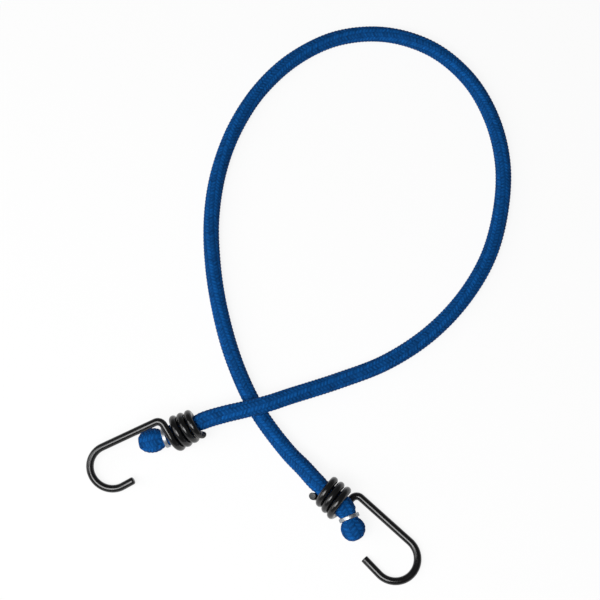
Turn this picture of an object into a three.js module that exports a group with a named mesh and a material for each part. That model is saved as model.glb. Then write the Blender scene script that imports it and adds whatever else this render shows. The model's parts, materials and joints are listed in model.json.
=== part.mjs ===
// Bungee cord: square rubber threads in a braided sleeve, with a wire hook wound on each end.
// Millimetres, +Z up. The cord lies in one loop on a flat surface, and the origin is on that surface,
// midway between the two hooked ends.
import * as THREE from 'three';

// Cord section
const CORD_DIAMETER = 8;
const SLEEVE_WALL = 0.6;
const SLEEVE_SIDES = 12;
const THREAD_SIDE = 0.9;
const THREAD_GAP = 0.2;
const THREAD_CLEARANCE = 0.2; // between the outermost threads and the sleeve

// Cord ends: a swollen knob, then the neck that the clip grips
const KNOB_RADIUS = 5.9;
const KNOB_A_HALF_LENGTH = 7.5; // of the ellipse that the knob is cut from
const KNOB_B_HALF_LENGTH = 5.9;
const KNOB_END_RADIUS = 2.4; // of the cut end
const KNOB_STEPS = 6;
const NECK_RADIUS = 3.9;
const NECK_FLARE = 2; // length over which the neck widens to the cord

// Clip: a flat ring bent round the neck, its ends a slit apart
const CLIP_WIDTH = 1.9;
const CLIP_THICKNESS = 1;
const CLIP_CLEARANCE = 0.3;
const CLIP_SLIT = 0.8;

// Hook wire
const WIRE_DIAMETER = 3.6;
const WIRE_SIDES = 8;
const WIRE_STEPS = 100;
const COIL_CLEARANCE = 0.4; // between the cord and the inside of the coil, at its tail
const COIL_FLARE = 1.1; // how far the wire spreads from the tail to where it leaves the coil
const COIL_PITCH = 4;
const COIL_TURNS = 3.15;
const COIL_FROM_END = 24.2; // from the cord's cut end to the middle of the coil, along the cord
const COIL_REACH = 6.2; // from the middle of the coil to where the wire leaves it
const TAIL_LENGTH = 2.4;
const TAIL_BACK = 1.2; // how far the tail is bent away from the hook
const SHANK_CLEARANCE = 2.4; // sideways, from the knob to the shank
const CORNER_RADIUS = 3.2;
const BEND_RADIUS = 11;
const BEND_TURN = 184;
const HOOK_A_REACH = 50.7; // from the coil's middle to the wire's middle at the far side of the bend
const HOOK_B_REACH = 53;
const LEG_A_LENGTH = 6.4; // straight end after the bend
const LEG_B_LENGTH = 10.4;

// How the hooks lie: heading from coil to bend, and which side of that line the shank is on
const HOOK_A_HEADING = -157.8;
const HOOK_A_SIDE = -1;
const HOOK_A_ROLL = 20; // turned on the cord, the leg side lower
const HOOK_B_HEADING = -42.4;
const HOOK_B_SIDE = 1;

// How the cord lies
const REST_GAP = 0.05; // under what lies on the surface
const CROSSING_GAP = 0.5; // between the two strands where one passes over the other
const RUN_STEP = 24; // between sections along the free cord
const COIL_STEPS = 4; // between sections inside a coil

// Sizes that follow from the ones above
const cordRadius = CORD_DIAMETER / 2;
const wireRadius = WIRE_DIAMETER / 2;
const wireCornerRadius = wireRadius / Math.cos(Math.PI / WIRE_SIDES);
const coilRadius = cordRadius + COIL_CLEARANCE + wireRadius + COIL_FLARE; // where the wire leaves it
const coilOutside = coilRadius + wireCornerRadius;
const shankOffset = KNOB_RADIUS + SHANK_CLEARANCE + wireRadius;
const neckLength = CLIP_WIDTH + 2 * CLIP_CLEARANCE;
const knobEndAngle = Math.asin(KNOB_END_RADIUS / KNOB_RADIUS);
const knobNeckAngle = Math.PI - Math.asin(NECK_RADIUS / KNOB_RADIUS);
const runStart = COIL_FROM_END + (COIL_TURNS + 1) * COIL_PITCH - COIL_REACH;
// Distances from a cut end to the middle of its knob, to its neck and to the middle of its clip
function cordEnd(knobHalfLength) {
  const knobMiddle = knobHalfLength * Math.cos(knobEndAngle);
  const neckStart = knobMiddle - knobHalfLength * Math.cos(knobNeckAngle);
  return { knobHalfLength, knobMiddle, neckStart, clipMiddle: neckStart + neckLength / 2 };
}
const endA = cordEnd(KNOB_A_HALF_LENGTH);
const endB = cordEnd(KNOB_B_HALF_LENGTH);

// Hook A lies shank upwards: its coil and its bend rest on the surface, which gives its pitch
const hookARoll = THREE.MathUtils.degToRad(HOOK_A_ROLL);
const contactTurns = 0.5 - HOOK_A_ROLL / 360; // from where the wire leaves the coil to its lowest point
const coilAContact = COIL_REACH - COIL_PITCH * contactTurns;
const contactOutside = coilOutside - (COIL_FLARE * contactTurns) / COIL_TURNS;
const bendOffset = shankOffset - BEND_RADIUS;
const hookARise = contactOutside + coilRadius * Math.cos(hookARoll) + bendOffset * Math.sin(hookARoll);
const hookARun = HOOK_A_REACH - BEND_RADIUS - coilAContact;
let hookAPitch = 0;
for (let i = 0; i < 40; i += 1) {
  const bendTilt = Math.hypot(Math.sin(hookAPitch), Math.sin(hookARoll) * Math.cos(hookAPitch));
  const dip = wireCornerRadius + BEND_RADIUS * bendTilt;
  hookAPitch = Math.atan2(hookARise, hookARun) - Math.asin(dip / Math.hypot(hookARise, hookARun));
}
const coilAHeight = coilAContact * Math.sin(hookAPitch) + contactOutside * Math.cos(hookAPitch) + REST_GAP;
// Hook B lies flat, shank down
const coilBHeight = coilRadius + wireRadius + REST_GAP;

// The cord's route, from the cut end at hook A to the cut end at hook B
const onSurface = cordRadius + REST_GAP;
const overStrand = onSurface + CORD_DIAMETER + CROSSING_GAP;
const knobOnSurface = KNOB_RADIUS + REST_GAP;
const routePoints = [
  [-56.8, 27.0, knobOnSurface],
  [-51.2, 27.9, knobOnSurface + 0.2],
  [-45.1, 28.8, coilAHeight - 2.5],
  [-40.7, 30.2, coilAHeight - 1.75],
  [-33.9, 32.9, coilAHeight],
  [-23.9, 37.0, coilAHeight + 2.45],
  [-14.2, 39.8, coilAHeight + 3.2],
  [-2.8, 42.6, overStrand + 0.4],
  [8.2, 45.8, overStrand - 0.4],
  [17.7, 49.5, overStrand - 2.2],
  [42.4, 58.8, onSurface + 1.5],
  [67.1, 69.0, onSurface],
  [89.4, 83.8, onSurface],
  [107.9, 103.2, onSurface],
  [121.7, 126.2, onSurface],
  [129.3, 151.8, onSurface],
  [131.7, 178.5, onSurface],
  [127.1, 204.9, onSurface],
  [115.4, 228.9, onSurface],
  [96.1, 247.3, onSurface],
  [71.0, 256.2, onSurface],
  [44.4, 254.1, onSurface],
  [20.8, 241.8, onSurface],
  [1.9, 222.8, onSurface],
  [-11.6, 199.6, onSurface],
  [-19.9, 174.2, onSurface],
  [-23.2, 147.6, onSurface],
  [-21.9, 120.9, onSurface],
  [-17.3, 94.4, onSurface],
  [-9.7, 68.7, onSurface],
  [1.6, 44.4, onSurface],
  [17.3, 22.7, onSurface + 0.6],
  [25.2, 14.1, onSurface + 2.6],
  [31.6, 6.6, coilBHeight - 0.5],
  [39.2, -0.4, coilBHeight],
  [44.3, -5.1, coilBHeight],
  [47.0, -9.9, coilBHeight - 0.3],
  [49.4, -16.3, coilBHeight - 1.3],
  [51.8, -20.5, knobOnSurface + 0.3],
];
const route = new THREE.CatmullRomCurve3(routePoints.map((p) => new THREE.Vector3(...p)));
route.arcLengthDivisions = 4000;
const cordLength = route.getLength();

// Materials
const blueBraid = new THREE.MeshStandardMaterial({ color: 0x0e4076, roughness: 0.85, metalness: 0 });
const latex = new THREE.MeshStandardMaterial({ color: 0xd8cfb8, roughness: 0.7, metalness: 0 });
const coatedWire = new THREE.MeshStandardMaterial({ color: 0x1c1d1f, roughness: 0.3, metalness: 0 });
const zincPlate = new THREE.MeshStandardMaterial({ color: 0xc3c6c9, roughness: 0.35, metalness: 1 });

// Outside radius of the cord at a distance along it
function cordRadiusAt(distance) {
  const isNearA = distance < cordLength / 2;
  const { knobHalfLength, knobMiddle, neckStart } = isNearA ? endA : endB;
  const fromEnd = isNearA ? distance : cordLength - distance;
  if (fromEnd < neckStart) {
    const along = (fromEnd - knobMiddle) / knobHalfLength;
    return KNOB_RADIUS * Math.sqrt(1 - along * along);
  }
  const intoFlare = fromEnd - neckStart - neckLength;
  const share = THREE.MathUtils.clamp(intoFlare / NECK_FLARE, 0, 1);
  return THREE.MathUtils.lerp(NECK_RADIUS, cordRadius, share);
}

// Place and axes of the cord at a distance along it: side is level, up is square to side and to the cord
function cordFrame(distance) {
  const share = distance / cordLength;
  const along = route.getTangentAt(share);
  const side = new THREE.Vector3(0, 0, 1).cross(along).normalize();
  const up = along.clone().cross(side);
  return { point: route.getPointAt(share), along, side, up };
}

// Distances from a cut end at which the cord has a section: close together in the knob, neck and coil
function endSections({ knobHalfLength, knobMiddle, neckStart }) {
  const distances = [0];
  for (let i = 1; i <= KNOB_STEPS; i += 1) {
    const angle = THREE.MathUtils.lerp(knobEndAngle, knobNeckAngle, i / KNOB_STEPS);
    distances.push(knobMiddle - knobHalfLength * Math.cos(angle));
  }
  const neckEnd = neckStart + neckLength;
  distances.push(neckEnd);
  for (let i = 0; i < COIL_STEPS; i += 1) {
    distances.push(THREE.MathUtils.lerp(neckEnd + NECK_FLARE, runStart, i / COIL_STEPS));
  }
  return distances;
}

function sectionDistances() {
  const runLength = cordLength - 2 * runStart;
  const runSteps = Math.ceil(runLength / RUN_STEP);
  const run = [];
  for (let i = 0; i <= runSteps; i += 1) run.push(runStart + (runLength * i) / runSteps);
  const farEnd = endSections(endB).map((distance) => cordLength - distance).reverse();
  return [...endSections(endA), ...run, ...farEnd];
}

const sections = sectionDistances().map((distance) => ({
  ...cordFrame(distance),
  swell: cordRadiusAt(distance) / cordRadius,
}));
const lastSection = sections.length - 1;

// Bends a straight bar on to the route: its y is the number of the section, x and z lie in the section
function bendAlongRoute(geometry) {
  const position = geometry.attributes.position;
  const vertex = new THREE.Vector3();
  for (let i = 0; i < position.count; i += 1) {
    vertex.fromBufferAttribute(position, i);
    const { point, side, up, swell } = sections[Math.round(vertex.y)];
    const bent = point.clone().addScaledVector(side, vertex.x * swell).addScaledVector(up, -vertex.z * swell);
    position.setXYZ(i, bent.x, bent.y, bent.z);
  }
  geometry.computeVertexNormals();
  return geometry;
}

function addMesh(parent, name, geometry, material) {
  const mesh = new THREE.Mesh(geometry, material);
  mesh.name = name;
  parent.add(mesh);
}

// Braided sleeve: a tube that is open at both cut ends
const boreRadius = cordRadius - SLEEVE_WALL;
function sleeveGeometry() {
  const outside = sections.map((section, i) => new THREE.Vector2(cordRadius, i));
  const inside = sections.map((section, i) => new THREE.Vector2(boreRadius, lastSection - i));
  const wall = [...outside, ...inside, outside[0].clone()];
  return bendAlongRoute(new THREE.LatheGeometry(wall, SLEEVE_SIDES));
}

// Rubber threads: square threads side by side, as many as the sleeve holds, ending just inside its cut ends
function threadPlaces() {
  const pitch = THREAD_SIDE + THREAD_GAP;
  const room = boreRadius * Math.cos(Math.PI / SLEEVE_SIDES) - THREAD_CLEARANCE;
  const reach = Math.floor(room / pitch);
  const places = [];
  for (let row = -reach; row <= reach; row += 1) {
    for (let column = -reach; column <= reach; column += 1) {
      const corner = [Math.abs(column) * pitch + THREAD_SIDE / 2, Math.abs(row) * pitch + THREAD_SIDE / 2];
      if (Math.hypot(...corner) <= room) places.push([column * pitch, row * pitch]);
    }
  }
  return places;
}

function threadGeometry([x, z]) {
  const steps = lastSection - 2;
  const bar = new THREE.BoxGeometry(THREAD_SIDE, steps, THREAD_SIDE, 1, steps, 1);
  bar.translate(x, steps / 2 + 1, z);
  return bendAlongRoute(bar);
}

// Clip: a ring with a slit, in its own plane about its own axis
function clipGeometry() {
  const inside = NECK_RADIUS + CLIP_CLEARANCE;
  const outside = inside + CLIP_THICKNESS;
  const halfSlit = CLIP_SLIT / 2 / outside;
  const ring = new THREE.Shape();
  ring.absarc(0, 0, outside, halfSlit, 2 * Math.PI - halfSlit, false);
  ring.absarc(0, 0, inside, 2 * Math.PI - halfSlit, halfSlit, true);
  const clip = new THREE.ExtrudeGeometry(ring, { depth: CLIP_WIDTH, bevelEnabled: false, curveSegments: 24 });
  clip.translate(0, 0, -CLIP_WIDTH / 2);
  return clip;
}

// Hook wire, in its own frame: x along the coil's axis towards the bend, y towards the shank
class LevelArc extends THREE.Curve {
  constructor(centre, radius, startAngle, turn) {
    super();
    Object.assign(this, { centre, radius, startAngle, turn });
  }

  getPoint(t, target = new THREE.Vector3()) {
    const angle = this.startAngle + this.turn * t;
    const offset = new THREE.Vector3(Math.cos(angle), Math.sin(angle), 0);
    return target.copy(this.centre).addScaledVector(offset, this.radius);
  }
}

class CoilTurns extends THREE.Curve {
  getPoint(t, target = new THREE.Vector3()) {
    const turnsBack = COIL_TURNS * t;
    const angle = -Math.PI / 2 - 2 * Math.PI * turnsBack;
    const x = COIL_REACH - COIL_PITCH * turnsBack;
    const radius = coilRadius - COIL_FLARE * t;
    return target.set(x, radius * Math.cos(angle), radius * Math.sin(angle));
  }
}

// The wire's middle line, from the tip of the hook to the end of the tail
function hookLine(reach, legLength) {
  const level = -coilRadius;
  const lead = Math.atan(COIL_PITCH / (2 * Math.PI * coilRadius));
  const bendX = reach - BEND_RADIUS;
  const bendTurn = THREE.MathUtils.degToRad(BEND_TURN);
  const departure = (shankOffset - CORNER_RADIUS * (1 - Math.sin(lead))) / Math.cos(lead);
  const cornerX = COIL_REACH + departure * Math.sin(lead) + CORNER_RADIUS * Math.cos(lead);

  const bendCentre = new THREE.Vector3(bendX, bendOffset, level);
  const bend = new LevelArc(bendCentre, BEND_RADIUS, Math.PI / 2 - bendTurn, bendTurn);
  const legEnd = bend.getPoint(0);
  const tip = legEnd.clone().addScaledVector(bend.getTangent(0), -legLength);
  const shankFar = new THREE.Vector3(bendX, shankOffset, level);
  const shankNear = new THREE.Vector3(cornerX, shankOffset, level);
  const cornerCentre = new THREE.Vector3(cornerX, shankOffset - CORNER_RADIUS, level);
  const corner = new LevelArc(cornerCentre, CORNER_RADIUS, Math.PI / 2, Math.PI / 2 - lead);
  const coil = new CoilTurns();
  const tailStart = coil.getPoint(1);
  const tail = coil.getTangent(1).multiplyScalar(TAIL_LENGTH);
  tail.x -= TAIL_BACK;

  const line = new THREE.CurvePath();
  line.add(new THREE.LineCurve3(tip, legEnd));
  line.add(bend);
  line.add(new THREE.LineCurve3(shankFar, shankNear));
  line.add(corner);
  line.add(new THREE.LineCurve3(corner.getPoint(1), coil.getPoint(0)));
  line.add(coil);
  line.add(new THREE.LineCurve3(tailStart, tailStart.clone().add(tail)));
  return line;
}

function hookGeometry(reach, legLength) {
  const section = new THREE.Shape();
  for (let i = 0; i < WIRE_SIDES; i += 1) {
    const angle = ((i + 0.5) * 2 * Math.PI) / WIRE_SIDES;
    const corner = [wireCornerRadius * Math.cos(angle), wireCornerRadius * Math.sin(angle)];
    if (i === 0) section.moveTo(...corner);
    else section.lineTo(...corner);
  }
  section.closePath();
  return new THREE.ExtrudeGeometry(section, { steps: WIRE_STEPS, extrudePath: hookLine(reach, legLength) });
}

// Assembly
const bungee = new THREE.Group();
addMesh(bungee, 'braided_sleeve', sleeveGeometry(), blueBraid);

threadPlaces().forEach((place, i) => {
  const number = String(i + 1).padStart(2, '0');
  addMesh(bungee, `rubber_thread_${number}`, threadGeometry(place), latex);
});

function addClip(name, distance) {
  const { point, along, side, up } = cordFrame(distance);
  const seat = new THREE.Group();
  seat.quaternion.setFromRotationMatrix(new THREE.Matrix4().makeBasis(side, up, along));
  seat.position.copy(point);
  addMesh(seat, name, clipGeometry(), zincPlate);
  bungee.add(seat);
}

addClip('end_clip_a', endA.clipMiddle);
addClip('end_clip_b', cordLength - endB.clipMiddle);

function addHook(name, geometry, distance, heading, shankSide, pitch, roll) {
  const angle = THREE.MathUtils.degToRad(heading);
  const level = new THREE.Vector3(Math.cos(angle), Math.sin(angle), 0);
  const axis = level.clone().multiplyScalar(Math.cos(pitch));
  axis.z = -Math.sin(pitch);
  const towardsShank = new THREE.Vector3(0, 0, 1).cross(level).multiplyScalar(shankSide);
  const square = axis.clone().cross(towardsShank);
  const seat = new THREE.Group();
  seat.quaternion.setFromRotationMatrix(new THREE.Matrix4().makeBasis(axis, towardsShank, square));
  seat.rotateX(shankSide * roll);
  seat.position.copy(cordFrame(distance).point);
  addMesh(seat, name, geometry, coatedWire);
  bungee.add(seat);
}

const hookA = hookGeometry(HOOK_A_REACH, LEG_A_LENGTH);
const hookB = hookGeometry(HOOK_B_REACH, LEG_B_LENGTH);
addHook('wire_hook_a', hookA, COIL_FROM_END, HOOK_A_HEADING, HOOK_A_SIDE, hookAPitch, hookARoll);
addHook('wire_hook_b', hookB, cordLength - COIL_FROM_END, HOOK_B_HEADING, HOOK_B_SIDE, 0, 0);

export default bungee;
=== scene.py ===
# Bungee cord: rubber threads in a braided sleeve, with a coated wire hook wound on each end.
# Metres, +Z up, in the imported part's own frame.
import json
import math

import bmesh
import bpy
import numpy as np
from mathutils import Matrix, Vector


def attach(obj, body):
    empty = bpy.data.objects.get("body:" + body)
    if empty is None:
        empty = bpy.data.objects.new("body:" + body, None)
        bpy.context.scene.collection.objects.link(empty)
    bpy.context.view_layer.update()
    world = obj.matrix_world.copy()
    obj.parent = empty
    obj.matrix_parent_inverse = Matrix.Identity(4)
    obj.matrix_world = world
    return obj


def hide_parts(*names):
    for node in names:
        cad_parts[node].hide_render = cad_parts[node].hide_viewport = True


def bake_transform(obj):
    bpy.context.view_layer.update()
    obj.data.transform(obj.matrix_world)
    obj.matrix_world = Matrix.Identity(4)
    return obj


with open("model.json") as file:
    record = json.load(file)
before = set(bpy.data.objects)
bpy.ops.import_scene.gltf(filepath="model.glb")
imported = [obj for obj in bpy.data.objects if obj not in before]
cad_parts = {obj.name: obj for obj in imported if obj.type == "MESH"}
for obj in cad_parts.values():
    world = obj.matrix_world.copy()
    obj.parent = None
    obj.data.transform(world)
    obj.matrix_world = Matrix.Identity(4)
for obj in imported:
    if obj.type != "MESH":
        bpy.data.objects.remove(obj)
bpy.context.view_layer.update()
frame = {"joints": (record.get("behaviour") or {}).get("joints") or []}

# Camera
# It looks steeply down on the loop from the side of the hooks, from far enough away to take in the
# whole cord.
PHOTO_WIDTH = 600  # pixels
FOCAL_LENGTH = 1361  # pixels
SENSOR_WIDTH = 36  # millimetres, as Blender counts it
VIEW_ELEVATION = math.radians(72)
VIEW_DISTANCE = 0.7075
VIEW_TARGET = Vector((0.0234, 0.1037, 0))
NEAREST_SEEN = 0.01

camera_lens = bpy.data.cameras.new("photo_camera")
camera_lens.sensor_width = SENSOR_WIDTH
camera_lens.lens = SENSOR_WIDTH * FOCAL_LENGTH / PHOTO_WIDTH
camera_lens.clip_start = NEAREST_SEEN
camera = bpy.data.objects.new("photo_camera", camera_lens)
towards_camera = Vector((0, -math.cos(VIEW_ELEVATION), math.sin(VIEW_ELEVATION)))
camera.location = VIEW_TARGET + VIEW_DISTANCE * towards_camera
camera.rotation_euler = towards_camera.to_track_quat("Z", "Y").to_euler()
bpy.context.scene.collection.objects.link(camera)
bpy.context.scene.camera = camera

# Braided sleeve
# A tube of blue polypropylene yarn, braided round the rubber. Its yarns show as short slanting ribs in
# columns along the cord, leaning to the left and to the right by turns. Each end is crimped into a
# neck, and past the neck the sleeve swells into a knob with a cut end.
CORD_RADIUS = 0.004
SLEEVE_WALL = 0.0006
KNOB_RADIUS = 0.0059
KNOB_A_HALF_LENGTH = 0.0075  # of the ellipse that the knob is cut from
KNOB_B_HALF_LENGTH = 0.0059
KNOB_END_RADIUS = 0.0024
NECK_RADIUS = 0.0039
NECK_LENGTH = 0.0025
NECK_FILL = 0.00015  # how much the braid swells into the clip
COIL_SWELL = 0.00025  # how much thicker the cord is next to a coil
COIL_SWELL_FADE = 0.05
RIB_COLUMNS = 10
RIB_PITCH = 0.00187
RIB_HEIGHT = 0.0003  # above the cord's plain surface
RIB_DEPTH = 0.00034
RIB_SLANT = 0.6  # of a pitch, from one side of a column to the other
RIB_STAGGER = 0.25  # of a pitch, with the lean, so that neighbouring columns lie half a pitch apart
RIB_SHARPNESS = 1.5  # power that narrows the crests
RIB_GROUND = 0.3  # height between two ribs of a column, as a share of the rib's
BRAID_TWIST = 1.5  # turns of the columns round the cord from end to end
SLEEVE_COLUMNS = 50  # of the mesh, round the cord
SLEEVE_ROWS = 1830  # along its outside
SLEEVE_INSIDE_ROWS = 140

# The wire's sizes in the coil, which leave the cord its room
WIRE_RADIUS = 0.0019
COIL_RADIUS = 0.0073  # where the wire leaves the coil
COIL_FLARE = 0.0011  # how much narrower the coil is at its tail
COIL_PITCH = 0.004
COIL_TURNS = 3.15
COIL_REACH = 0.0062  # from the middle of the coil to where the wire leaves it
COIL_FROM_END = 0.0242  # from the cut end to the middle of the coil, along the cord
WIRE_GAP = 0.0001

# Heights of the cord's middle line, which runs through the hooks' joints
joints = {joint["name"]: joint for joint in frame["joints"]}
REST_GAP = 0.00005
CROSSING_GAP = 0.0005
ON_SURFACE = CORD_RADIUS + REST_GAP
OVER_STRAND = ON_SURFACE + 2 * CORD_RADIUS + CROSSING_GAP
KNOB_ON_SURFACE = KNOB_RADIUS + REST_GAP
COIL_A_HEIGHT = joints["hook_a_swivel"]["pos_m"][2]
COIL_B_HEIGHT = joints["hook_b_swivel"]["pos_m"][2]

ROUTE = np.array([
    (-0.0568, 0.0270, KNOB_ON_SURFACE),
    (-0.0512, 0.0279, KNOB_ON_SURFACE + 0.0002),
    (-0.0451, 0.0288, COIL_A_HEIGHT - 0.0025),
    (-0.0407, 0.0302, COIL_A_HEIGHT - 0.00175),
    (-0.0339, 0.0329, COIL_A_HEIGHT),
    (-0.0239, 0.0370, COIL_A_HEIGHT + 0.00245),
    (-0.0142, 0.0398, COIL_A_HEIGHT + 0.0032),
    (-0.0028, 0.0426, OVER_STRAND + 0.0004),
    (0.0082, 0.0458, OVER_STRAND - 0.0004),
    (0.0177, 0.0495, OVER_STRAND - 0.0022),
    (0.0424, 0.0588, ON_SURFACE + 0.0015),
    (0.0671, 0.0690, ON_SURFACE),
    (0.0894, 0.0838, ON_SURFACE),
    (0.1079, 0.1032, ON_SURFACE),
    (0.1217, 0.1262, ON_SURFACE),
    (0.1293, 0.1518, ON_SURFACE),
    (0.1317, 0.1785, ON_SURFACE),
    (0.1271, 0.2049, ON_SURFACE),
    (0.1154, 0.2289, ON_SURFACE),
    (0.0961, 0.2473, ON_SURFACE),
    (0.0710, 0.2562, ON_SURFACE),
    (0.0444, 0.2541, ON_SURFACE),
    (0.0208, 0.2418, ON_SURFACE),
    (0.0019, 0.2228, ON_SURFACE),
    (-0.0116, 0.1996, ON_SURFACE),
    (-0.0199, 0.1742, ON_SURFACE),
    (-0.0232, 0.1476, ON_SURFACE),
    (-0.0219, 0.1209, ON_SURFACE),
    (-0.0173, 0.0944, ON_SURFACE),
    (-0.0097, 0.0687, ON_SURFACE),
    (0.0016, 0.0444, ON_SURFACE),
    (0.0173, 0.0227, ON_SURFACE + 0.0006),
    (0.0252, 0.0141, ON_SURFACE + 0.0026),
    (0.0316, 0.0066, COIL_B_HEIGHT - 0.0005),
    (0.0392, -0.0004, COIL_B_HEIGHT),
    (0.0443, -0.0051, COIL_B_HEIGHT),
    (0.0470, -0.0099, COIL_B_HEIGHT - 0.0003),
    (0.0494, -0.0163, COIL_B_HEIGHT - 0.0013),
    (0.0518, -0.0205, KNOB_ON_SURFACE + 0.0003),
])
SPAN_STEPS = 120  # points worked out between two points of the route


def smooth_line(points, steps):
    """Points of a centripetal Catmull-Rom curve through the given points."""
    around = np.vstack([2 * points[0] - points[1], points, 2 * points[-1] - points[-2]])
    gaps = np.sqrt(np.linalg.norm(np.diff(around, axis=0), axis=1))
    share = np.linspace(0, 1, steps, endpoint=False)[:, None]
    line = []
    for i in range(len(points) - 1):
        before, start, end, after = around[i:i + 4]
        gap_before, gap, gap_after = gaps[i:i + 3]
        step = (end - start) / gap
        leave = gap * ((start - before) / gap_before - (end - before) / (gap_before + gap) + step)
        arrive = gap * (step - (after - start) / (gap + gap_after) + (after - end) / gap_after)
        square = 3 * (end - start) - 2 * leave - arrive
        cube = 2 * (start - end) + leave + arrive
        line.append(start + leave * share + square * share ** 2 + cube * share ** 3)
    return np.vstack([*line, points[-1:]])


route_line = smooth_line(ROUTE, SPAN_STEPS)
travelled = np.concatenate([[0], np.cumsum(np.linalg.norm(np.diff(route_line, axis=0), axis=1))])
cord_length = travelled[-1]
route_direction = np.gradient(route_line, travelled, axis=0)


def cord_frames(distances):
    """Middle, direction, level side and upper side of the cord at distances along it."""
    middle = np.stack([np.interp(distances, travelled, route_line[:, k]) for k in range(3)], axis=1)
    along = np.stack([np.interp(distances, travelled, route_direction[:, k]) for k in range(3)], axis=1)
    along /= np.linalg.norm(along, axis=1, keepdims=True)
    side = np.cross((0, 0, 1), along)
    side /= np.linalg.norm(side, axis=1, keepdims=True)
    return middle, along, side, np.cross(along, side)


def smooth_step(value):
    value = np.clip(value, 0, 1)
    return value * value * (3 - 2 * value)


knob_end_share = math.sqrt(1 - (KNOB_END_RADIUS / KNOB_RADIUS) ** 2)
neck_share = knob_end_share + math.sqrt(1 - (NECK_RADIUS / KNOB_RADIUS) ** 2)
neck_a_start = KNOB_A_HALF_LENGTH * neck_share
neck_b_start = KNOB_B_HALF_LENGTH * neck_share


def cord_radius(distances):
    """Radius of the cord at distances along it: knob, neck, cone that fills the coil, free cord."""
    from_end = np.minimum(distances, cord_length - distances)
    half_length = np.where(distances < cord_length / 2, KNOB_A_HALF_LENGTH, KNOB_B_HALF_LENGTH)
    past_neck_start = from_end - half_length * neck_share
    past_middle = from_end / half_length - knob_end_share
    knob = KNOB_RADIUS * np.sqrt(np.clip(1 - past_middle ** 2, 0, 1))
    turns_back = (from_end - COIL_FROM_END + COIL_REACH) / COIL_PITCH
    narrowing = COIL_FLARE * np.clip(turns_back / COIL_TURNS, 0, 1)
    in_coil = COIL_RADIUS - narrowing - WIRE_RADIUS - WIRE_GAP - RIB_HEIGHT
    free = CORD_RADIUS + COIL_SWELL * smooth_step(1 - (from_end - COIL_FROM_END) / COIL_SWELL_FADE)
    body = in_coil + (free - in_coil) * smooth_step(turns_back - COIL_TURNS)
    neck = NECK_RADIUS + NECK_FILL
    body = neck + (body - neck) * smooth_step((past_neck_start - NECK_LENGTH) / NECK_LENGTH)
    return np.where(past_neck_start < 0, np.maximum(knob, KNOB_END_RADIUS), body)


def braid_relief(angle_share, distance):
    """Height of the braid's ribs from 0 in the grooves to 1 on the crests."""
    column = angle_share * RIB_COLUMNS + distance / cord_length * BRAID_TWIST * RIB_COLUMNS
    across = column - np.floor(column) - 0.5
    lean = np.where(np.floor(column) % 2 == 0, 1, -1)
    phase = distance / RIB_PITCH + lean * (RIB_SLANT * across + RIB_STAGGER)
    rib = (0.5 + 0.5 * np.cos(2 * math.pi * phase)) ** RIB_SHARPNESS
    crown = np.sqrt(np.clip(np.cos(math.pi * across), 0, 1))
    return crown * (RIB_GROUND + (1 - RIB_GROUND) * rib)


def tube_mesh(name, rings, distances=None):
    """A tube through rows of points, rolled up from a grid. Its UV map runs round and along it.

    Where the rows' distances along the cord are given, the mesh keeps them as an attribute.
    """
    rows, columns = rings.shape[:2]
    tube = bmesh.new()
    tube.loops.layers.uv.new("round_and_along")
    bmesh.ops.create_grid(tube, x_segments=columns - 1, y_segments=rows - 1, size=1, calc_uvs=True)
    for vertex, place in zip(tube.verts, rings.reshape(-1, 3)):
        vertex.co = place
    if distances is not None:
        layer = tube.verts.layers.float.new("distance_along")
        for vertex, distance in zip(tube.verts, np.repeat(distances, columns)):
            vertex[layer] = distance
    bmesh.ops.remove_doubles(tube, verts=tube.verts, dist=1e-6)
    bmesh.ops.holes_fill(tube, edges=tube.edges, sides=0)
    bmesh.ops.recalc_face_normals(tube, faces=tube.faces)
    mesh = bpy.data.meshes.new(name)
    tube.to_mesh(mesh)
    tube.free()
    mesh.shade_smooth()
    return mesh


def add_piece(name, mesh, *materials):
    piece = bpy.data.objects.new(name, mesh)
    for material in materials:
        mesh.materials.append(material)
    bpy.context.scene.collection.objects.link(piece)
    return piece


def sleeve_rings():
    """The sleeve's rows, along the outside and back along the inside, and their distances."""
    trial = np.linspace(0, cord_length, 40 * SLEEVE_ROWS)  # fine enough to measure the surface by
    radii = cord_radius(trial)
    surface = np.concatenate([[0], np.cumsum(np.hypot(np.diff(trial), np.diff(radii)))])
    outside = np.interp(np.linspace(0, surface[-1], SLEEVE_ROWS), surface, trial)
    inside = np.linspace(cord_length, 0, SLEEVE_INSIDE_ROWS)
    distances = np.concatenate([outside, inside, outside[:1]])
    is_outside = np.concatenate([np.ones(SLEEVE_ROWS), np.zeros(SLEEVE_INSIDE_ROWS), [1]])[:, None]
    middle, _, side, up = (part[:, None, :] for part in cord_frames(distances))
    shares = np.linspace(0, 1, SLEEVE_COLUMNS + 1)[None, :]
    angles = 2 * math.pi * shares[..., None]
    outwards = side * np.cos(angles) + up * np.sin(angles)
    radius = cord_radius(distances)[:, None]
    relief = RIB_HEIGHT - RIB_DEPTH * (1 - braid_relief(shares, distances[:, None]))
    wall = SLEEVE_WALL / CORD_RADIUS * radius
    radius = radius + relief * is_outside - wall * (1 - is_outside)
    rings = middle + radius[..., None] * outwards
    rings[..., 2] = np.maximum(rings[..., 2], 0)  # the cord lies flat where it rests
    rings[:, -1] = rings[:, 0]
    return rings, distances


def linear_colour(hex_code):
    """Linear RGBA of an sRGB hex value."""
    channels = [int(hex_code[i:i + 2], 16) / 255 for i in (1, 3, 5)]
    linear = [c / 12.92 if c <= 0.04045 else ((c + 0.055) / 1.055) ** 2.4 for c in channels]
    return (*linear, 1.0)


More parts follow.
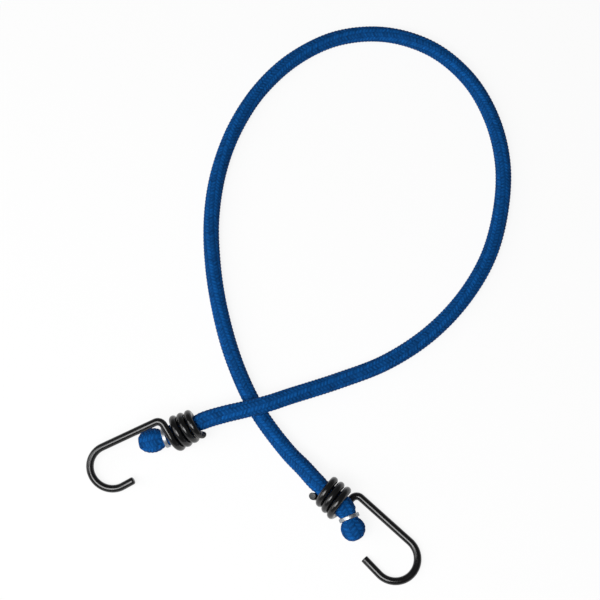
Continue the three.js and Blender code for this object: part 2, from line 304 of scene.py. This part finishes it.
def add_node(tree, kind, values=None, links=None, **settings):
    """Adds a node, with its settings, the values of its sockets and the outputs linked to them."""
    node = tree.nodes.new(kind)
    for name, value in settings.items():
        setattr(node, name, value)
    for socket, value in (values or {}).items():
        node.inputs[socket].default_value = value
    for socket, output in (links or {}).items():
        tree.links.new(output, node.inputs[socket])
    return node


def new_material(name):
    """A material with its node tree and its shader."""
    material = bpy.data.materials.new(name)
    material.use_nodes = True
    return material, material.node_tree, material.node_tree.nodes["Principled BSDF"]


# Braided polypropylene: dull fibres with hardly any gloss, deep blue, with painted shade that colours the
# grooves between the yarns darker than their crests.
# The ribs are those of the mesh, worked out again for each point, so that the yarns keep sharp edges.
def braided_polypropylene():
    material, tree, shader = new_material("braided_polypropylene")
    # painted shade: the grooves are coloured darker than the crests, by the ribs' height
    painted_groove_shade = linear_colour("#03366a")
    crest = linear_colour("#0b4d8d")
    column_width = 2 * math.pi * CORD_RADIUS / RIB_COLUMNS
    streak_length = 0.0063  # of a streak of fibres, drawn as wide as a rib, so that it shows
    streak_contrast = 0.8
    patch_size = 0.03  # of a stretch of cord that is a little paler or darker
    patch_contrast = 0.12
    # painted sheen: columns whose yarns lean one way are coloured lighter and the others darker, as if
    # they caught more light
    painted_column_sheen = 0.1  # yarns that lean one way catch more light than the others
    fibre_relief = 0.0002

    # The column of ribs, how far across it, and which way its ribs lean
    sleeve_map = add_node(tree, "ShaderNodeUVMap", uv_map="round_and_along")
    around = add_node(tree, "ShaderNodeSeparateXYZ", None, {"Vector": sleeve_map.outputs["UV"]})
    along = add_node(tree, "ShaderNodeAttribute", attribute_name="distance_along")
    turned = add_node(
        tree, "ShaderNodeMath", {1: RIB_COLUMNS * BRAID_TWIST / cord_length}, {0: along.outputs["Fac"]},
        operation="MULTIPLY",
    )
    column = add_node(
        tree, "ShaderNodeMath", {1: RIB_COLUMNS}, {0: around.outputs["X"], 2: turned.outputs["Value"]},
        operation="MULTIPLY_ADD",
    )
    in_column = add_node(tree, "ShaderNodeMath", None, {0: column.outputs["Value"]}, operation="FRACT")
    across = add_node(
        tree, "ShaderNodeMath", {1: 0.5}, {0: in_column.outputs["Value"]}, operation="SUBTRACT"
    )
    in_pair = add_node(
        tree, "ShaderNodeMath", {1: 2}, {0: column.outputs["Value"]}, operation="FLOORED_MODULO"
    )
    is_odd = add_node(
        tree, "ShaderNodeMath", {1: 1}, {0: in_pair.outputs["Value"]}, operation="GREATER_THAN"
    )
    lean = add_node(
        tree, "ShaderNodeMath", {1: -2, 2: 1}, {0: is_odd.outputs["Value"]}, operation="MULTIPLY_ADD"
    )

    # The ribs' height, as in braid_relief
    slant = add_node(
        tree, "ShaderNodeMath", {1: RIB_SLANT, 2: RIB_STAGGER}, {0: across.outputs["Value"]},
        operation="MULTIPLY_ADD",
    )
    leaning = add_node(
        tree, "ShaderNodeMath", None, {0: slant.outputs["Value"], 1: lean.outputs["Value"]},
        operation="MULTIPLY",
    )
    phase = add_node(
        tree, "ShaderNodeMath", {1: 1 / RIB_PITCH},
        {0: along.outputs["Fac"], 2: leaning.outputs["Value"]}, operation="MULTIPLY_ADD",
    )
    swing = add_node(
        tree, "ShaderNodeMath", {1: 2 * math.pi}, {0: phase.outputs["Value"]}, operation="MULTIPLY"
    )
    wave = add_node(tree, "ShaderNodeMath", None, {0: swing.outputs["Value"]}, operation="COSINE")
    rise = add_node(
        tree, "ShaderNodeMath", {1: 0.5, 2: 0.5}, {0: wave.outputs["Value"]}, operation="MULTIPLY_ADD"
    )
    rib = add_node(
        tree, "ShaderNodeMath", {1: RIB_SHARPNESS}, {0: rise.outputs["Value"]}, operation="POWER"
    )
    raised = add_node(
        tree, "ShaderNodeMath", {1: 1 - RIB_GROUND, 2: RIB_GROUND}, {0: rib.outputs["Value"]},
        operation="MULTIPLY_ADD",
    )
    arch = add_node(
        tree, "ShaderNodeMath", {1: math.pi}, {0: across.outputs["Value"]}, operation="MULTIPLY"
    )
    span = add_node(tree, "ShaderNodeMath", None, {0: arch.outputs["Value"]}, operation="COSINE")
    crown = add_node(tree, "ShaderNodeMath", {1: 0.5}, {0: span.outputs["Value"]}, operation="POWER")
    height = add_node(
        tree, "ShaderNodeMath", None, {0: raised.outputs["Value"], 1: crown.outputs["Value"]},
        operation="MULTIPLY",
    )

    # Streaks of fibres along the yarns, and paler and darker stretches of the cord
    yarn_length = add_node(
        tree, "ShaderNodeMath", {1: column_width / streak_length}, {0: column.outputs["Value"]},
        operation="MULTIPLY",
    )
    on_yarn = add_node(
        tree, "ShaderNodeCombineXYZ", None,
        {"X": phase.outputs["Value"], "Y": yarn_length.outputs["Value"]},
    )
    fibres = add_node(
        tree, "ShaderNodeTexNoise", {"Scale": 1, "Detail": 4, "Roughness": 0.7},
        {"Vector": on_yarn.outputs["Vector"]}, noise_dimensions="2D",
    )
    streaks = add_node(
        tree, "ShaderNodeMapRange", {"To Min": 1 - streak_contrast, "To Max": 1 + streak_contrast},
        {"Value": fibres.outputs["Fac"]},
    )
    place = add_node(tree, "ShaderNodeTexCoord")
    patches = add_node(
        tree, "ShaderNodeTexNoise", {"Scale": 1 / patch_size, "Detail": 1},
        {"Vector": place.outputs["Object"]},
    )
    fade = add_node(
        tree, "ShaderNodeMapRange", {"To Min": 1 - patch_contrast, "To Max": 1 + patch_contrast},
        {"Value": patches.outputs["Fac"]},
    )

    # The yarns' colour, with painted shade in the grooves and painted sheen on every other column, and
    # bumps
    yarn_colour_with_painted_shade = add_node(
        tree, "ShaderNodeMix", {"A": painted_groove_shade, "B": crest}, {"Factor": height.outputs["Value"]},
        data_type="RGBA",
    )
    # Painted sheen on every other column, multiplied into the streaks of fibres
    painted_sheen_by_lean = add_node(
        tree, "ShaderNodeMath", {1: painted_column_sheen, 2: 1}, {0: lean.outputs["Value"]},
        operation="MULTIPLY_ADD",
    )
    streaks_and_painted_sheen = add_node(
        tree, "ShaderNodeMath", None, {0: streaks.outputs["Result"], 1: painted_sheen_by_lean.outputs["Value"]},
        operation="MULTIPLY",
    )
    tone = add_node(
        tree, "ShaderNodeMath", None, {0: streaks_and_painted_sheen.outputs["Value"], 1: fade.outputs["Result"]},
        operation="MULTIPLY",
    )
    toned = add_node(
        tree, "ShaderNodeVectorMath", None, {0: yarn_colour_with_painted_shade.outputs[2], "Scale": tone.outputs["Value"]},
        operation="SCALE",
    )
    lumps = add_node(
        tree, "ShaderNodeMath", None, {0: height.outputs["Value"], 1: streaks.outputs["Result"]},
        operation="MULTIPLY",
    )
    bump = add_node(
        tree, "ShaderNodeBump", {"Strength": 0.4, "Distance": fibre_relief},
        {"Height": lumps.outputs["Value"]},
    )
    tree.links.new(toned.outputs["Vector"], shader.inputs["Base Color"])
    tree.links.new(bump.outputs["Normal"], shader.inputs["Normal"])
    shader.inputs["Roughness"].default_value = 0.8
    shader.inputs["Specular IOR Level"].default_value = 0.06
    return material


def stretch_with_cord(piece):
    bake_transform(piece)


rings, row_distances = sleeve_rings()
sleeve_mesh = tube_mesh("braided_sleeve_yarns", rings, row_distances)
sleeve = add_piece("braided_sleeve_yarns", sleeve_mesh, braided_polypropylene())
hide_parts("braided_sleeve")
stretch_with_cord(sleeve)

# Rubber threads
# Twenty-one square threads cut from a sheet of natural rubber. They lie side by side through the whole
# sleeve, spread in the knobs, and end just inside the cut ends.
THREAD_SIDE = 0.0009
THREAD_PITCH = 0.0011
THREAD_ROOM = 0.0031  # from the cord's middle to the furthest corner of a thread
THREAD_STEP = 0.003  # from row to row of the mesh
THREAD_START = 0.0011  # from the cut end


# Natural rubber: cream, matt and dusted with talc
def natural_rubber():
    material, tree, shader = new_material("natural_rubber")
    dust_size = 0.0006  # of a patch of talc, whose grains are too fine to show
    place = add_node(tree, "ShaderNodeTexCoord")
    dust = add_node(
        tree, "ShaderNodeTexNoise", {"Scale": 1 / dust_size, "Detail": 3},
        {"Vector": place.outputs["Object"]},
    )
    cream = add_node(
        tree, "ShaderNodeMix", {"A": linear_colour("#c3b28c"), "B": linear_colour("#e4dcc8")},
        {"Factor": dust.outputs["Fac"]}, data_type="RGBA",
    )
    tree.links.new(cream.outputs[2], shader.inputs["Base Color"])
    shader.inputs["Roughness"].default_value = 0.75
    return material


def thread_rings(across, upwards):
    """Rows of the four corners of a thread, the first one again at the end of each row."""
    steps = round(cord_length / THREAD_STEP)
    distances = np.linspace(THREAD_START, cord_length - THREAD_START, steps)
    swell = cord_radius(distances) / CORD_RADIUS
    middle, _, side, up = cord_frames(distances)
    half = THREAD_SIDE / 2
    corners = [(-half, -half), (half, -half), (half, half), (-half, half), (-half, -half)]
    rows = [
        middle + side * (swell * (across + x))[:, None] + up * (swell * (upwards + z))[:, None]
        for x, z in corners
    ]
    return np.stack(rows, axis=1)


rubber = natural_rubber()
thread_reach = math.floor(THREAD_ROOM / THREAD_PITCH)
thread_lines = [line * THREAD_PITCH for line in range(-thread_reach, thread_reach + 1)]
thread_places = [
    (across, upwards)
    for upwards in thread_lines
    for across in thread_lines
    if math.hypot(abs(across) + THREAD_SIDE / 2, abs(upwards) + THREAD_SIDE / 2) <= THREAD_ROOM
]
for number, (across, upwards) in enumerate(thread_places, start=1):
    name = f"latex_thread_{number:02d}"
    thread = add_piece(name, tube_mesh(name, thread_rings(across, upwards)), rubber)
    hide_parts(f"rubber_thread_{number:02d}")
    stretch_with_cord(thread)

# End clips
# A strip of zinc-plated steel, bent into a ring round each neck and crimped until it bites into the
# braid. Its two ends stand a narrow slit apart.
CLIP_INSIDE = 0.0042
CLIP_THICKNESS = 0.001
CLIP_WIDTH = 0.0019
CLIP_SLIT = 0.0008
CLIP_EDGE = 0.0003  # how far its edges are rounded
CLIP_STEPS = 64
SHARP_EDGE = math.radians(45)  # angle between two faces from which an edge is rounded


# Zinc plate: bright grey metal, a little cloudy, with duller and glossier patches
def zinc_plate():
    material, tree, shader = new_material("zinc_plate")
    cloud_size = 0.0012  # drawn coarse enough to show on so small a piece
    place = add_node(tree, "ShaderNodeTexCoord")
    cloud = add_node(
        tree, "ShaderNodeTexNoise", {"Scale": 1 / cloud_size, "Detail": 3},
        {"Vector": place.outputs["Object"]},
    )
    tone = add_node(
        tree, "ShaderNodeMix", {"A": linear_colour("#84888d"), "B": linear_colour("#b9bcc0")},
        {"Factor": cloud.outputs["Fac"]}, data_type="RGBA",
    )
    gloss = add_node(
        tree, "ShaderNodeMapRange", {"To Min": 0.36, "To Max": 0.56}, {"Value": cloud.outputs["Fac"]}
    )
    tree.links.new(tone.outputs[2], shader.inputs["Base Color"])
    tree.links.new(gloss.outputs["Result"], shader.inputs["Roughness"])
    shader.inputs["Metallic"].default_value = 1
    return material


def ring_of(made):
    """The edges of a ring of edges that an operator has just made."""
    vertices = {item for item in made if isinstance(item, bmesh.types.BMVert)}
    edges = [item for item in made if isinstance(item, bmesh.types.BMEdge)]
    return [edge for edge in edges if all(vertex in vertices for vertex in edge.verts)]


def spin_ring(mesh, ring, centre, axis, angle, steps, drift=(0, 0, 0)):
    """Sweeps a ring of edges round an axis and returns the ring at its end."""
    vertices = {vertex for edge in ring for vertex in edge.verts}
    made = bmesh.ops.spin(
        mesh, geom=[*vertices, *ring], cent=centre, axis=axis, dvec=drift, angle=angle, steps=steps,
        use_merge=False, use_duplicate=False,
    )
    return ring_of(made["geom_last"])


def extrude_ring(mesh, ring, offset):
    """Sweeps a ring of edges along a straight line and returns the ring at its end."""
    made = bmesh.ops.extrude_edge_only(mesh, edges=ring)["geom"]
    vertices = [item for item in made if isinstance(item, bmesh.types.BMVert)]
    bmesh.ops.translate(mesh, verts=vertices, vec=offset)
    return ring_of(made)


def clip_mesh(name, distance):
    """The strip's section spun round the neck, short of a full turn by the slit."""
    middle, along, side, up = (Vector(part[0]) for part in cord_frames(np.array([distance])))
    seat = Matrix.Translation(middle) @ Matrix((side, up, along)).transposed().to_4x4()
    radius = CLIP_INSIDE + CLIP_THICKNESS / 2
    half_slit = CLIP_SLIT / 2 / (CLIP_INSIDE + CLIP_THICKNESS)
    clip = bmesh.new()
    stand = Matrix.Rotation(math.pi / 2, 4, "X") @ Matrix.Rotation(math.pi / 4, 4, "Z")
    section = bmesh.ops.create_circle(clip, segments=4, radius=math.sqrt(0.5), matrix=stand)["verts"]
    bmesh.ops.scale(clip, verts=section, vec=(CLIP_THICKNESS, 1, CLIP_WIDTH))
    bmesh.ops.translate(clip, verts=section, vec=(radius, 0, 0))
    bmesh.ops.rotate(clip, verts=section, cent=(0, 0, 0), matrix=Matrix.Rotation(half_slit, 3, "Z"))
    spin_ring(clip, list(clip.edges), (0, 0, 0), (0, 0, 1), 2 * (math.pi - half_slit), CLIP_STEPS)
    bmesh.ops.holes_fill(clip, edges=clip.edges, sides=0)
    bmesh.ops.recalc_face_normals(clip, faces=clip.faces)
    corners = [edge for edge in clip.edges if edge.calc_face_angle(0) > SHARP_EDGE]
    bmesh.ops.bevel(
        clip, geom=corners, offset=CLIP_EDGE, segments=3, profile=0.5, affect="EDGES", material=-1
    )
    bmesh.ops.transform(clip, matrix=seat, verts=clip.verts)
    mesh = bpy.data.meshes.new(name)
    clip.to_mesh(mesh)
    clip.free()
    mesh.shade_smooth()
    return mesh


zinc = zinc_plate()
for letter, distance in (
    ("a", neck_a_start + NECK_LENGTH / 2),
    ("b", cord_length - neck_b_start - NECK_LENGTH / 2),
):
    name = f"crimped_clip_{letter}"
    clip = add_piece(name, clip_mesh(name, distance), zinc)
    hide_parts(f"end_clip_{letter}")
    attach(clip, "cord_ends")

# Wire hooks
# One piece of steel wire each, dipped in black vinyl. From the tail it winds a little over three turns
# round the cord, leaves the coil, turns a tight corner and runs past the knob into the open hook.
WIRE_SIDES = 28
SHANK_OFFSET = 0.0101  # from the coil's axis to the middle of the shank
CORNER_RADIUS = 0.0032
BEND_RADIUS = 0.011
BEND_TURN = math.radians(184)
HOOK_A_REACH = 0.0507  # from the middle of the coil to the far side of the bend
HOOK_B_REACH = 0.0530
LEG_A_LENGTH = 0.0064  # straight stretch from the bend to the tip
LEG_B_LENGTH = 0.0104
TIP_A_ROUNDING = 0.0009
TAIL_A_ROUNDING = 0.0007
CUT_B_ROUNDING = 0.0003  # of the tip and of the tail
TAIL_LENGTH = 0.0024
TAIL_BACK = 0.0012  # how far the tail is bent away from the hook
TURN_STEPS = 48  # of the mesh, to a full turn
HOOK_A_SIDE = -1  # the shank runs to the right of the coil's axis
HOOK_A_ROLL = math.radians(20)  # how far the hook is turned about that axis
HOOK_B_SIDE = 1  # the shank runs to the left
HOOK_B_ROLL = 0
VINYL_FACE = 0  # place among the hook's two materials
STEEL_FACE = 1
coil_lead = math.atan(COIL_PITCH / (2 * math.pi * COIL_RADIUS))


# Dipped vinyl: black, smooth and glossy, with a faint waviness and duller scuffs
def dipped_vinyl():
    material, tree, shader = new_material("dipped_vinyl")
    wave_length = 0.004
    wave_height = 0.0001
    scuff_size = 0.004
    place = add_node(tree, "ShaderNodeTexCoord")
    waves = add_node(
        tree, "ShaderNodeTexNoise", {"Scale": 1 / wave_length, "Detail": 1},
        {"Vector": place.outputs["Object"]},
    )
    scuffs = add_node(
        tree, "ShaderNodeTexNoise", {"Scale": 1 / scuff_size, "Detail": 5},
        {"Vector": place.outputs["Object"]},
    )
    gloss = add_node(
        tree, "ShaderNodeMapRange",
        {"From Min": 0.35, "From Max": 0.75, "To Min": 0.16, "To Max": 0.26},
        {"Value": scuffs.outputs["Fac"]},
    )
    tone = add_node(
        tree, "ShaderNodeMix", {"A": linear_colour("#060607"), "B": linear_colour("#101112")},
        {"Factor": scuffs.outputs["Fac"]}, data_type="RGBA",
    )
    bump = add_node(
        tree, "ShaderNodeBump", {"Strength": 0.05, "Distance": wave_height},
        {"Height": waves.outputs["Fac"]},
    )
    tree.links.new(tone.outputs[2], shader.inputs["Base Color"])
    tree.links.new(gloss.outputs["Result"], shader.inputs["Roughness"])
    tree.links.new(bump.outputs["Normal"], shader.inputs["Normal"])
    return material


# Sheared steel: the bare end of the wire where it was cut off after dipping, grey and torn
def sheared_steel():
    material, tree, shader = new_material("sheared_steel")
    tear_size = 0.0004  # drawn coarse enough to show
    place = add_node(tree, "ShaderNodeTexCoord")
    tear = add_node(
        tree, "ShaderNodeTexNoise", {"Scale": 1 / tear_size, "Detail": 4},
        {"Vector": place.outputs["Object"]},
    )
    tone = add_node(
        tree, "ShaderNodeMix", {"A": linear_colour("#2b2c2d"), "B": linear_colour("#5d5f60")},
        {"Factor": tear.outputs["Fac"]}, data_type="RGBA",
    )
    tree.links.new(tone.outputs[2], shader.inputs["Base Color"])
    shader.inputs["Metallic"].default_value = 1
    shader.inputs["Roughness"].default_value = 0.5
    return material


def close_end(mesh, ring, rounding, material):
    """Closes a ring, rounds its rim and gives the flat face that is left that material."""
    face = bmesh.ops.contextual_create(mesh, geom=ring)["faces"][0]
    made = bmesh.ops.bevel(
        mesh, geom=list(face.edges), offset=rounding, segments=4, profile=0.5, affect="EDGES", material=-1
    )
    around_rim = [beside for vertex in made["verts"] for beside in vertex.link_faces]
    flat_face = max(around_rim, key=lambda beside: len(beside.verts))
    flat_face.material_index = material


def hook_seat(joint_name, shank_side, roll):
    """Matrix of a hook's own frame: x along its coil to the bend, y towards the shank."""
    joint = joints[joint_name]
    axis = Vector(joint["axis"]).normalized()
    level = Vector((0, 0, 1)).cross(axis).normalized() * shank_side
    turn = Matrix((axis, level, axis.cross(level))).transposed().to_4x4()
    return Matrix.Translation(joint["pos_m"]) @ turn @ Matrix.Rotation(shank_side * roll, 4, "X")


def wind_coil(mesh, ring):
    """Sweeps a ring of edges back along the coil, step by step, each a little closer to its axis."""
    steps = round(COIL_TURNS * TURN_STEPS)
    turn = -2 * math.pi * COIL_TURNS / steps
    drift = (-COIL_PITCH * COIL_TURNS / steps, 0, 0)
    inwards = Vector((0, 0, COIL_FLARE / steps))
    for step in range(1, steps + 1):
        ring = spin_ring(mesh, ring, (0, 0, 0), (1, 0, 0), turn, 1, drift)
        vertices = list({vertex for edge in ring for vertex in edge.verts})
        bmesh.ops.translate(mesh, verts=vertices, vec=Matrix.Rotation(turn * step, 3, "X") @ inwards)
    return ring


def hook_mesh(name, seat, reach, leg_length, tip_rounding, tail_rounding, tail_material):
    """The wire's section swept from the tip through bend, shank, corner and coil to the tail."""
    level = -COIL_RADIUS
    bend_middle = Vector((reach - BEND_RADIUS, SHANK_OFFSET - BEND_RADIUS, level))
    start_angle = math.pi / 2 - BEND_TURN
    bend_start = bend_middle + BEND_RADIUS * Vector((math.cos(start_angle), math.sin(start_angle), 0))
    leg = Vector((-math.sin(start_angle), math.cos(start_angle), 0)) * leg_length
    departure = (SHANK_OFFSET - CORNER_RADIUS * (1 - math.sin(coil_lead))) / math.cos(coil_lead)
    corner_x = COIL_REACH + departure * math.sin(coil_lead) + CORNER_RADIUS * math.cos(coil_lead)
    corner_middle = Vector((corner_x, SHANK_OFFSET - CORNER_RADIUS, level))
    back = Vector((-math.sin(coil_lead), -math.cos(coil_lead), 0))

    wire = bmesh.new()
    stand = Matrix.Translation(bend_start - leg) @ leg.to_track_quat("Z", "Y").to_matrix().to_4x4()
    bmesh.ops.create_circle(wire, segments=WIRE_SIDES, radius=WIRE_RADIUS, matrix=stand)
    tip_ring = list(wire.edges)
    ring = extrude_ring(wire, tip_ring, leg)
    ring = spin_ring(wire, ring, bend_middle, (0, 0, 1), BEND_TURN, TURN_STEPS)
    ring = extrude_ring(wire, ring, (corner_x - bend_middle.x, 0, 0))
    ring = spin_ring(wire, ring, corner_middle, (0, 0, 1), math.pi / 2 - coil_lead, TURN_STEPS // 3)
    ring = extrude_ring(wire, ring, back * departure)
    ring = wind_coil(wire, ring)
    tail = Matrix.Rotation(-2 * math.pi * COIL_TURNS, 3, "X") @ back * TAIL_LENGTH
    ring = extrude_ring(wire, ring, tail - Vector((TAIL_BACK, 0, 0)))
    close_end(wire, tip_ring, tip_rounding, VINYL_FACE)
    close_end(wire, ring, tail_rounding, tail_material)
    bmesh.ops.recalc_face_normals(wire, faces=wire.faces)
    bmesh.ops.transform(wire, matrix=seat, verts=wire.verts)
    mesh = bpy.data.meshes.new(name)
    wire.to_mesh(mesh)
    wire.free()
    mesh.shade_smooth()
    return mesh


hook_a_seat = hook_seat("hook_a_swivel", HOOK_A_SIDE, HOOK_A_ROLL)
hook_b_seat = hook_seat("hook_b_swivel", HOOK_B_SIDE, HOOK_B_ROLL)
vinyl = dipped_vinyl()
steel = sheared_steel()
hook_a_mesh = hook_mesh(
    "dipped_hook_a", hook_a_seat, HOOK_A_REACH, LEG_A_LENGTH, TIP_A_ROUNDING, TAIL_A_ROUNDING, VINYL_FACE
)
hook_b_mesh = hook_mesh(
    "dipped_hook_b", hook_b_seat, HOOK_B_REACH, LEG_B_LENGTH, CUT_B_ROUNDING, CUT_B_ROUNDING, STEEL_FACE
)
for letter, mesh in (("a", hook_a_mesh), ("b", hook_b_mesh)):
    hook = add_piece(f"dipped_hook_{letter}", mesh, vinyl, steel)
    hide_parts(f"wire_hook_{letter}")
    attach(hook, f"hook_{letter}")

# Floor and light
# A plain white floor under soft light, with the main softbox in front on the left, high up, and a
# weaker one at the left side.
FLOOR_SIZE = 30
WHITE_SHARE = 0.88  # of the floor's look that is plain white; the rest shows the shadow
WALL_LIGHT = 0.28
CEILING_LIGHT = 0.12
WALL_TOP = 0.1  # heights in the sky, from 0 at the horizon to 1 overhead
CEILING_EDGE = 0.5

floor_mesh = bpy.data.meshes.new("floor")
floor_shape = bmesh.new()
bmesh.ops.create_grid(floor_shape, x_segments=1, y_segments=1, size=FLOOR_SIZE)
floor_shape.to_mesh(floor_mesh)
floor_shape.free()
floor_paper, tree, shader = new_material("white_paper")
shader.inputs["Base Color"].default_value = linear_colour("#f2f2f2")
shader.inputs["Roughness"].default_value = 0.9
shader.inputs["Specular IOR Level"].default_value = 0
rays = add_node(tree, "ShaderNodeLightPath")
seen_or_mirrored = add_node(
    tree, "ShaderNodeMath", None, {0: rays.outputs["Is Camera Ray"], 1: rays.outputs["Is Glossy Ray"]},
    operation="MAXIMUM",
)
seen = add_node(
    tree, "ShaderNodeMath", None,
    {0: seen_or_mirrored.outputs["Value"], 1: rays.outputs["Is Transmission Ray"]}, operation="MAXIMUM",
)
white_share = add_node(
    tree, "ShaderNodeMath", {1: WHITE_SHARE}, {0: seen.outputs["Value"]}, operation="MULTIPLY"
)
white = add_node(tree, "ShaderNodeEmission", {"Strength": 1})
paper = add_node(
    tree, "ShaderNodeMixShader", None,
    {0: white_share.outputs["Value"], 1: shader.outputs["BSDF"], 2: white.outputs["Emission"]},
)
tree.links.new(paper.outputs["Shader"], tree.nodes["Material Output"].inputs["Surface"])
floor = add_piece("floor", floor_mesh, floor_paper)

world = bpy.data.worlds.new("studio")
bpy.context.scene.world = world
world.use_nodes = True
tree = world.node_tree
sky = tree.nodes["Background"]
sky.inputs["Color"].default_value = (1, 1, 1, 1)
direction = add_node(tree, "ShaderNodeTexCoord")
height = add_node(tree, "ShaderNodeSeparateXYZ", None, {"Vector": direction.outputs["Generated"]})
glow = add_node(
    tree, "ShaderNodeMapRange",
    {"From Min": WALL_TOP, "From Max": CEILING_EDGE, "To Min": WALL_LIGHT, "To Max": CEILING_LIGHT},
    {"Value": height.outputs["Z"]}, interpolation_type="SMOOTHSTEP",
)
tree.links.new(glow.outputs["Result"], sky.inputs["Strength"])


def add_softbox(name, place, size, power):
    """A square area light that looks at the middle of the loop."""
    lamp = bpy.data.lights.new(name, "AREA")
    lamp.shape = "SQUARE"
    lamp.size = size
    lamp.energy = power
    softbox = bpy.data.objects.new(name, lamp)
    softbox.location = place
    softbox.rotation_euler = (Vector(place) - VIEW_TARGET).to_track_quat("Z", "Y").to_euler()
    bpy.context.scene.collection.objects.link(softbox)


add_softbox("main_light", place=(-0.27, -0.36, 0.95), size=0.6, power=10.5)
add_softbox("side_light", place=(-1.0, -0.2, 0.7), size=0.8, power=6)
bpy.context.scene.view_settings.view_transform = "Standard"
